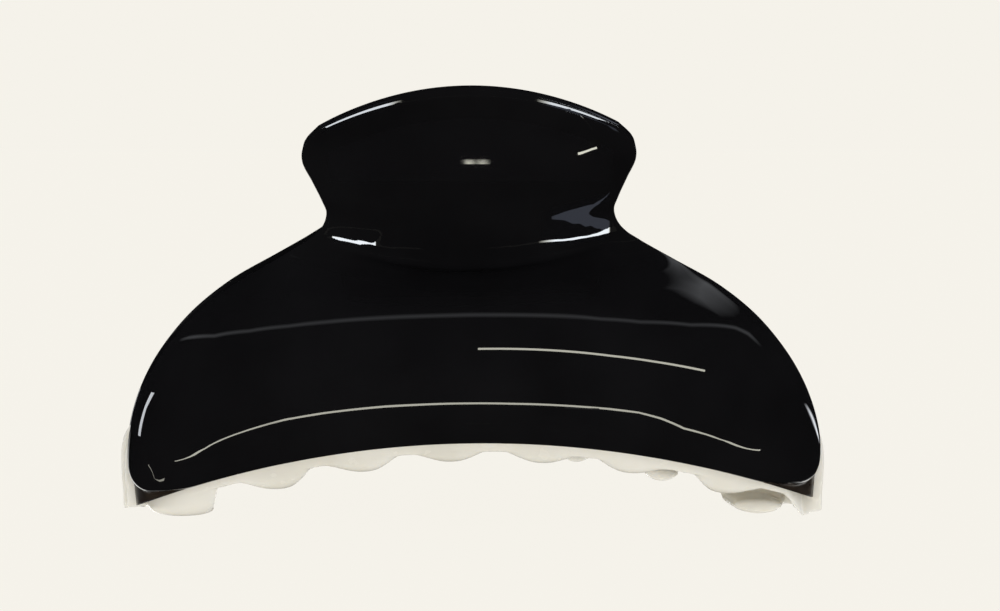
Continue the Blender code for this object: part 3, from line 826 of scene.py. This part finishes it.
# Painted highlights: the black face's specular level is painted over it by place, not given by its own polish,
# so that each strip light shows only where it should and is hidden elsewhere. Places are
# in metres: a pair is where a fade starts and ends, and a LEAN or TILT says how a line rises away from x = 0.
# Specular levels of the painted highlight mask: high on the painted streaks, rods and spots, almost none where
# reflections are painted out.
BODY_SHEEN_LEVEL = 0.3
PAINTED_OUT_SHEEN = 0.003
SPOT_PAINTED_HIGHLIGHT = 1.0
STREAK_PAINTED_HIGHLIGHT = 0.62
ROD_PAINTED_HIGHLIGHT = 0.8
# COOL_TINT tints the painted highlights along the tab's tip and crease.
COOL_TINT = (0.80, 0.86, 1.06, 1.0)
# The tab: painted highlight streaks along its tip at both sides of a plain middle, and short painted spots of
# light further down.
TIP_FROM_Z = (0.0424, 0.0428)
TIP_MIDDLE_X = (0.0098, 0.008)
TIP_MIDDLE_Z = (0.0515, 0.0518)
TIP_TOP_Z = 0.0535
TIP_TOP_LEAN = -13.44
TIP_TOP_TILT = 0.0122
SPOTS_END_X = (0.0175, 0.0168)
STREAKS_END_X = (0.0181, 0.0176)
UNDER_TIP = ((0.00075, 0.00092), (0.0034, 0.0032))
# The crease: a painted highlight rod at its left end and one at its right end, under the grey patch.
ROD_LEAN = -0.0937
ROD_RISE = 0.00226
ROD_TILT = 0.0148
ROD_HALF = (0.00046, 0.00036)
LEFT_ROD_ENDS = ((-0.0172, -0.01705), (-0.0117, -0.0118))
RIGHT_ROD_ENDS = ((0.0084, 0.0105), (0.0173, 0.0171))
PATCH_LEAN = 0.28
PATCH_RISE = 0.0365
PATCH_FADE = (0.0, -0.0003)
# The body, and where its reflections are painted out: the left shoulder, and below the line of light near the
# teeth.
BODY_FROM = (-0.0032, -0.0038)
LEFT_SHOULDER_X = (-0.0215, -0.023)
LEFT_SHOULDER_Z = (0.0272, 0.0284)
LOW_MIDDLE_Z = 0.01605
LOW_LEAN = -4.6
LOW_FADE = (0.0001, -0.0002)
LOW_END_X = (0.0255, 0.0225)
LOW_RIGHT_X = ((0.0094, 0.0101), (0.0174, 0.0166))
LOW_RIGHT_Z = 0.01645
LOW_RIGHT_LEAN = -0.07
LOW_RIGHT_FADE = (0.00005, -0.00008)


def painted_highlight_mask(nodes):
    """A specular level painted by place to put each highlight where it is wanted, and a mask of the tab's long
    painted highlights, which are tinted cooler than the rest.
    """
    split = nodes.make("SeparateXYZ")
    nodes.join(nodes.place(), split.inputs["Vector"])
    x, z = split.outputs["X"], split.outputs["Z"]
    side, square = nodes.math("ABSOLUTE", x), nodes.both(x, x)

    crease = nodes.math("MULTIPLY_ADD", square, CREASE_RISE / CREASE_HALF_WIDTH**2 / MM, CREASE_MIDDLE_Z * MM)
    above = nodes.math("SUBTRACT", z, crease)
    rod = nodes.math("MULTIPLY_ADD", x, ROD_TILT, nodes.math("MULTIPLY_ADD", side, ROD_LEAN, ROD_RISE))
    over = nodes.math("SUBTRACT", above, rod)
    left = nodes.both(nodes.window(x, *LEFT_ROD_ENDS), nodes.between(nodes.math("ABSOLUTE", over), *ROD_HALF))
    patch_top = nodes.math("MULTIPLY_ADD", x, PATCH_LEAN, PATCH_RISE)
    right = nodes.both(nodes.window(x, *RIGHT_ROD_ENDS), nodes.between(over, -ROD_HALF[0], -ROD_HALF[1]))
    right = nodes.both(right, nodes.between(nodes.math("SUBTRACT", z, patch_top), *PATCH_FADE))
    rods = nodes.either(left, right)

    middle = nodes.both(nodes.between(side, *TIP_MIDDLE_X), nodes.between(z, *TIP_MIDDLE_Z))
    tip_top = nodes.math("MULTIPLY_ADD", square, TIP_TOP_LEAN, TIP_TOP_Z)
    below = nodes.math("SUBTRACT", nodes.math("MULTIPLY_ADD", x, TIP_TOP_TILT, tip_top), z)
    plain = nodes.either(middle, nodes.window(below, *UNDER_TIP))
    tip = nodes.math("SUBTRACT", nodes.between(z, *TIP_FROM_Z), plain)
    lower = nodes.both(tip, nodes.between(below, *UNDER_TIP[0]))
    spots = nodes.both(lower, nodes.between(side, *SPOTS_END_X))
    streaks = nodes.both(nodes.math("SUBTRACT", tip, lower), nodes.between(side, *STREAKS_END_X))
    # Painted highlights: the streaks, rods and spots get their own high specular level.
    shine = nodes.either(nodes.both(streaks, STREAK_PAINTED_HIGHLIGHT), nodes.both(rods, ROD_PAINTED_HIGHLIGHT))
    shine = nodes.either(shine, nodes.both(spots, SPOT_PAINTED_HIGHLIGHT))

    low_edge = nodes.math("MULTIPLY_ADD", square, LOW_LEAN, LOW_MIDDLE_Z)
    under = nodes.between(nodes.math("SUBTRACT", z, low_edge), *LOW_FADE)
    under = nodes.both(under, nodes.between(side, *LOW_END_X))
    shoulder = nodes.both(nodes.between(x, *LEFT_SHOULDER_X), nodes.between(z, *LEFT_SHOULDER_Z))
    right_edge = nodes.math("MULTIPLY_ADD", x, LOW_RIGHT_LEAN, LOW_RIGHT_Z)
    low_right = nodes.between(nodes.math("SUBTRACT", z, right_edge), *LOW_RIGHT_FADE)
    low_right = nodes.both(nodes.window(x, *LOW_RIGHT_X), low_right)
    # Painted-out reflections: the body mirrors almost nothing in these patches.
    painted_out = nodes.either(nodes.either(under, shoulder), low_right)
    body = nodes.both(nodes.between(above, *BODY_FROM), nodes.math("SUBTRACT", 1.0, painted_out))
    rest = nodes.math("MULTIPLY_ADD", body, BODY_SHEEN_LEVEL - PAINTED_OUT_SHEEN, PAINTED_OUT_SHEEN)
    return nodes.either(shine, rest), nodes.either(streaks, rods)


def black_material():
    """Polished black acetate: faint mottling, finest scratches, and a specular level painted over the face to
    place its highlights.
    """
    nodes = Nodes(bpy.data.materials.new("black_gloss_acetate"))
    nodes.set(IOR=1.7)
    painted_shine, cool = painted_highlight_mask(nodes)
    # The specular level is painted by place: it puts the highlights where they are wanted and hides the strips'
    # other reflections.
    nodes.feed("Specular IOR Level", painted_shine)
    nodes.feed("Specular Tint", nodes.ramp(cool, ((0.0, (1.0, 1.0, 1.0, 1.0)), (1.0, COOL_TINT))))
    shades = (0.3, (0.0034, 0.0033, 0.0037, 1)), (0.7, (0.0050, 0.0049, 0.0055, 1))
    nodes.feed("Base Color", nodes.ramp(nodes.noise(90.0, 4.0), shades))
    wear = nodes.noise(260.0, 5.0, 0.6, (1, 1, 0.25))
    nodes.feed("Roughness", nodes.ramp(wear, ((0.35, 0.004), (0.75, 0.012))))
    swell = nodes.bump(nodes.noise(55.0, 2.0), 0.00001, 0.05)
    scratch = nodes.noise(1400.0, 2.0, 0.5, (1, 1, 0.06))
    nodes.feed("Normal", nodes.bump(scratch, 0.000004, 0.006, swell))
    return nodes.owner


def flange_material():
    """The thin edge of the black layer at the lower corners, dark brown and less glossy than the face."""
    nodes = Nodes(bpy.data.materials.new("black_edge_acetate"))
    nodes.set(IOR=1.5)
    shades = (0.3, (0.007, 0.005, 0.004, 1)), (0.75, (0.022, 0.015, 0.010, 1))
    nodes.feed("Base Color", nodes.ramp(nodes.noise(420.0, 3.0), shades))
    nodes.feed("Roughness", nodes.ramp(nodes.noise(500.0, 4.0), ((0.3, 0.25), (0.7, 0.4))))
    nodes.feed("Normal", nodes.bump(nodes.noise(700.0, 3.0), 0.00002, 0.4))
    return nodes.owner


def ivory_material():
    """Glossy ivory plastic: slow warm and grey variation, soft light inside it, and moulding ripples."""
    nodes = Nodes(bpy.data.materials.new("ivory_gloss_plastic"))
    nodes.set(IOR=1.48, Subsurface_Weight=0.5, Subsurface_Scale=0.003, Subsurface_Radius=(1.0, 0.9, 0.75))
    shades = (0.28, (0.64, 0.62, 0.56, 1)), (0.5, (0.72, 0.70, 0.64, 1)), (0.75, (0.77, 0.75, 0.70, 1))
    nodes.feed("Base Color", nodes.ramp(nodes.noise(70.0, 4.0, 0.55), shades))
    nodes.feed("Roughness", nodes.ramp(nodes.noise(300.0, 4.0), ((0.3, 0.16), (0.7, 0.3))))
    swell = nodes.bump(nodes.noise(160.0, 3.0), 0.00006, 0.4)
    nodes.feed("Normal", nodes.bump(nodes.noise(1100.0, 3.0), 0.000012, 0.3, swell))
    return nodes.owner


def steel_material():
    """Drawn spring steel with a fine grain."""
    nodes = Nodes(bpy.data.materials.new("spring_steel_drawn"))
    nodes.set(Metallic=1.0)
    shades = (0.3, (0.50, 0.50, 0.52, 1)), (0.7, (0.68, 0.68, 0.69, 1))
    nodes.feed("Base Color", nodes.ramp(nodes.noise(700.0, 4.0, 0.6), shades))
    nodes.feed("Roughness", nodes.ramp(nodes.noise(1500.0, 3.0), ((0.3, 0.2), (0.7, 0.38))))
    nodes.feed("Normal", nodes.bump(nodes.noise(2600.0, 2.0), 0.000006, 0.4))
    return nodes.owner


def linear(red, green, blue):
    """A colour of the screen, 0 to 255 and over 10 in each part, as linear light."""
    return tuple(((part / 255 + 0.055) / 1.055) ** 2.4 for part in (red, green, blue))


PALE = linear(245, 242, 234)
FLOOR_SIZE = 6.0
FLOOR_Z = -0.00002
FLOOR_COLOUR = (0.5, 0.49, 0.47, 1.0)
FLOOR_GLOW = 0.97
FLOOR_STRENGTH = 1.02


def make_floor():
    """A plain pale table that is nearly as bright in shadow as in light."""
    bpy.ops.mesh.primitive_plane_add(size=FLOOR_SIZE, location=(0.0, 0.0, FLOOR_Z))
    floor = bpy.context.object
    floor.name = "floor"
    nodes = Nodes(bpy.data.materials.new("pale_table"))
    nodes.set(Base_Color=FLOOR_COLOUR, Roughness=1.0, Specular_IOR_Level=0.0)
    glow = nodes.make("Emission", {"Color": (*PALE, 1.0), "Strength": FLOOR_STRENGTH})
    light = nodes.mix(FLOOR_GLOW, nodes.shader.outputs["BSDF"], glow.outputs["Emission"])
    nodes.join(light, nodes.tree.nodes["Material Output"].inputs["Surface"])
    floor.data.materials.append(nodes.owner)
    floor.visible_glossy = False


AMBIENT = (0.74, 0.74, 0.74)
DARK = (0.006, 0.006, 0.007)


def make_world():
    """The pale studio behind the table, a soft light from all round, and darkness in what the gloss mirrors."""
    world = bpy.data.worlds.new("studio")
    bpy.context.scene.world = world
    nodes = Nodes(world, empty=True)
    path = nodes.make("LightPath")
    seen, round_about, mirrored = (
        nodes.make("Background", {"Color": (*colour, 1.0)}).outputs["Background"]
        for colour in (PALE, AMBIENT, DARK)
    )
    light = nodes.mix(path.outputs["Is Glossy Ray"], round_about, mirrored)
    light = nodes.mix(path.outputs["Is Camera Ray"], light, seen)
    nodes.join(light, nodes.make("OutputWorld").inputs["Surface"])


WARM = (1.0, 0.985, 0.84)
COOL = (0.92, 0.95, 1.0)
PLAIN = (1.0, 1.0, 0.98)
STRIP_DISTANCE = 2.4
STRIP_SHARES = (0.0, 0.5, 1.0)
MIRRORED_ONCE = 1.5

# Strip lights far from the clip. Each is a band between two lines of directions, given as azimuth and
# elevation in degrees: azimuth 0 is towards the camera and 90 is to its right. A soft one fades at its edges.
Strip = namedtuple("Strip", "name radiance colour rows")
SOFT_STRIPS = ("side_right", "brow", "shoulder_right", "rim_left", "rim_right")
STRIPS = (
    Strip("lower_tube", 10, WARM, (
        (-69.4, -22.1, -68.9, -22.6), (-57, -27.15, -56.7, -27.75), (-46.9, -27.8, -46.7, -28.9),
        (-36.1, -26.9, -35.9, -28.9), (-28, -28.5, -27.9, -30.2), (-16.1, -30.9, -16.1, -32.6),
        (-10.5, -32, -10.5, -33.7), (-0.7, -32.8, -0.7, -34.4), (6.5, -32.7, 6.5, -34.3),
        (15.5, -31.3, 15.4, -33), (24.9, -29, 24.8, -30.8), (30.9, -27.7, 30.8, -29.5),
        (35.5, -29.2, 35.3, -31.3), (40.5, -33.3, 40.2, -35), (49, -31.05, 48.8, -31.65),
        (62.7, -23.2, 62.5, -23.6),
    )),
    Strip("upper_tube", 11, WARM, (
        (0.6, 19.6, 0.6, 17.5), (9, 20, 8.9, 17.9), (19.5, 19.9, 19.1, 17.9), (31.4, 19.1, 30.9, 17.3),
        (43.2, 18.8, 42.5, 17.2), (58.4, 18, 57.3, 16.4),
    )),
    Strip("short_tube_left", 6.5, WARM, (
        (-1.7, -60.638, -1.7, -60.3), (0.8, -60.631, 0.8, -60.3), (3.2, -60.669, 3.2, -60.3),
    )),
    Strip("short_tube_right", 5, WARM, (
        (16.6, -63.1, 16.4, -63.35), (17.0, -63.31, 16.8, -63.56), (17.7, -63.80, 17.6, -64.10),
        (18.3, -64.25, 18.2, -64.55), (18.9, -64.6, 18.8, -64.85),
    )),
    Strip("hook", 5, WARM, (
        (-89.4, -14.7, -90, -14.6), (-87.4, -16.5, -88, -16.3), (-82, -21.05, -82.3, -20.9),
        (-73.7, -24.65, -73.6, -24.45),
    )),
    Strip("side_left", 6, COOL, (
        (-111, 11.9, -118, 11.1), (-112.6, 6, -117.5, 5.9), (-109.2, 0.5, -114.6, 0.8),
        (-107, -3, -111.9, -2.3),
    )),
    Strip("side_right", 6, COOL, (
        (117, 6.5, 128, 5.5), (119.5, 3, 131, 2.5), (123, 0, 136, 0), (130, -3.5, 140, -3.5),
        (136, -6, 143, -6),
    )),
    Strip("brow", 0.6, COOL, (
        (-132.5, 19.8, -123.1, 22.8), (-116.8, 28.2, -110.9, 28.6), (-100, 34.2, -95.3, 33.2),
        (-83.3, 41.1, -78.4, 38.7), (-69.9, 48.2, -63.9, 44), (-60.2, 56.2, -51.5, 49.4),
        (-42.5, 69, -29.8, 57.8), (-6.2, 75.7, -3.2, 61.9), (42.1, 67.4, 31.3, 56.7), (50.7, 58.2, 43.5, 51.1),
        (61.9, 51.2, 56, 46.2), (80.9, 44.2, 75.9, 41.5), (105.9, 35.4, 100.5, 34.9), (112, 30.8, 105.3, 31.4),
        (115.1, 26.1, 107.9, 27.2),
    )),
    Strip("grey_patch", 0.37, COOL, (
        (12.4, -47.3, 12.6, -49.6), (15.0, -46.1, 15.7, -53.5), (17.4, -42.9, 19.7, -57.1),
        (16.2, -35.8, 22.6, -59.2), (16.8, -32.3, 26.5, -61.4), (19.9, -31.0, 23.9, -60.8),
        (22.9, -29.9, 24.2, -61.1),
    )),
    Strip("shoulder_right", 0.75, COOL, (
        (104, 40, 104, 60), (114, 36, 112, 60), (124, 33, 120, 58), (134, 30, 130, 50), (140, 28, 136, 44),
    )),
    Strip("rim_left", 4.5, PLAIN, (
        (-125, -45, -125, -2), (-140, -48, -140, -2), (-155, -50, -155, -4), (-168, -50, -168, -20),
    )),
    Strip("rim_right", 4.0, PLAIN, (
        (105, -50, 105, -22), (120, -55, 120, -22), (140, -50, 140, -18), (168, -50, 168, -20),
    )),
)


def direction(azimuth, elevation):
    """The unit vector that points that way, for angles in degrees."""
    azimuth, elevation = math.radians(azimuth), math.radians(elevation)
    level = math.cos(elevation)
    return Vector((math.sin(azimuth) * level, -math.cos(azimuth) * level, math.sin(elevation)))


def strip_mesh(strip):
    """A strip's band of faces, with its brightness at each point."""
    points = []
    for low_turn, low_rise, high_turn, high_rise in strip.rows:
        low, high = direction(low_turn, low_rise), direction(high_turn, high_rise)
        points += [tuple(low.lerp(high, share).normalized() * STRIP_DISTANCE) for share in STRIP_SHARES]
    rows, columns = len(strip.rows), len(STRIP_SHARES)
    mesh = bpy.data.meshes.new(strip.name)
    mesh.from_pydata(points, [], grid_faces(rows, columns))
    brightness = mesh.attributes.new("brightness", "FLOAT", "POINT")
    for index, point in enumerate(brightness.data):
        row, column = divmod(index, columns)
        inside = 0 < row < rows - 1 and 0 < column < columns - 1
        point.value = strip.radiance if inside or strip.name not in SOFT_STRIPS else 0.0
    return mesh


def strip_material(strip):
    """The strip's light. It is seen when mirrored once, and stays dark by way of two glossy faces."""
    nodes = Nodes(bpy.data.materials.new(strip.name + "_glow"), empty=True)
    given = nodes.make("Attribute", attribute_name="brightness")
    once = nodes.math("LESS_THAN", nodes.make("LightPath").outputs["Ray Depth"], MIRRORED_ONCE)
    glow = nodes.make("Emission", {"Color": (*strip.colour, 1.0)})
    nodes.join(nodes.both(given.outputs["Fac"], once), glow.inputs["Strength"])
    nodes.join(glow.outputs["Emission"], nodes.make("OutputMaterial").inputs["Surface"])
    nodes.owner.cycles.emission_sampling = "NONE"
    return nodes.owner


def make_strips():
    """Thin lights that show only where the clip's gloss mirrors them."""
    for strip in STRIPS:
        band = bpy.data.objects.new(strip.name, strip_mesh(strip))
        bpy.context.scene.collection.objects.link(band)
        band.data.materials.append(strip_material(strip))
        band.visible_camera = band.visible_diffuse = band.visible_shadow = False


# Soft lamps. Each faces the point aim, and its power is in watts.
Lamp = namedtuple("Lamp", "name place aim width height power colour")
LAMPS = (
    Lamp("key_softbox", (-0.5, -0.7, 0.9), (0, 0, 0.02), 0.5, 0.4, 1.8, (1.0, 0.99, 0.98)),
    Lamp("low_fill", (0.15, -0.9, 0.06), (0, 0, 0.01), 0.7, 0.16, 3.0, (1.0, 0.99, 0.98)),
)


def make_lamps():
    """Soft lamps for the pale parts, which the gloss doesn't mirror."""
    for lamp in LAMPS:
        data = bpy.data.lights.new(lamp.name, "AREA")
        data.shape = "RECTANGLE"
        data.size, data.size_y = lamp.width, lamp.height
        data.energy = lamp.power
        data.color = lamp.colour
        data.specular_factor = 0.0
        thing = bpy.data.objects.new(lamp.name, data)
        bpy.context.scene.collection.objects.link(thing)
        thing.location = lamp.place
        aim = Vector(lamp.aim) - Vector(lamp.place)
        thing.rotation_euler = aim.to_track_quat("-Z", "Y").to_euler()
        thing.visible_glossy = False


CAMERA_PLACE = (0.00365, -0.3, 0.051)
CAMERA_LENS = 85.0
CAMERA_DOWN_DEG = 4.684
CAMERA_CLIP = (0.01, 20.0)


def make_camera():
    """The photo's camera: level with the clip's upper half, and turned slightly down."""
    data = bpy.data.cameras.new("camera")
    data.lens = CAMERA_LENS
    data.clip_start, data.clip_end = CAMERA_CLIP
    camera = bpy.data.objects.new("camera", data)
    bpy.context.scene.collection.objects.link(camera)
    camera.location = CAMERA_PLACE
    camera.rotation_euler = (math.radians(90.0 - CAMERA_DOWN_DEG), 0.0, 0.0)
    bpy.context.scene.camera = camera


def make_scene():
    """The clip's seven pieces, and the studio around them."""
    black, flange, ivory, steel = black_material(), flange_material(), ivory_material(), steel_material()
    for side, turn in JAWS:
        make_shell(side, turn, black, flange)
        make_liner(side, turn, ivory)
    make_pin(steel)
    make_spring(steel)
    make_floor()
    make_world()
    make_lamps()
    make_strips()
    make_camera()
    bpy.context.scene.view_settings.view_transform = "Standard"


make_scene()
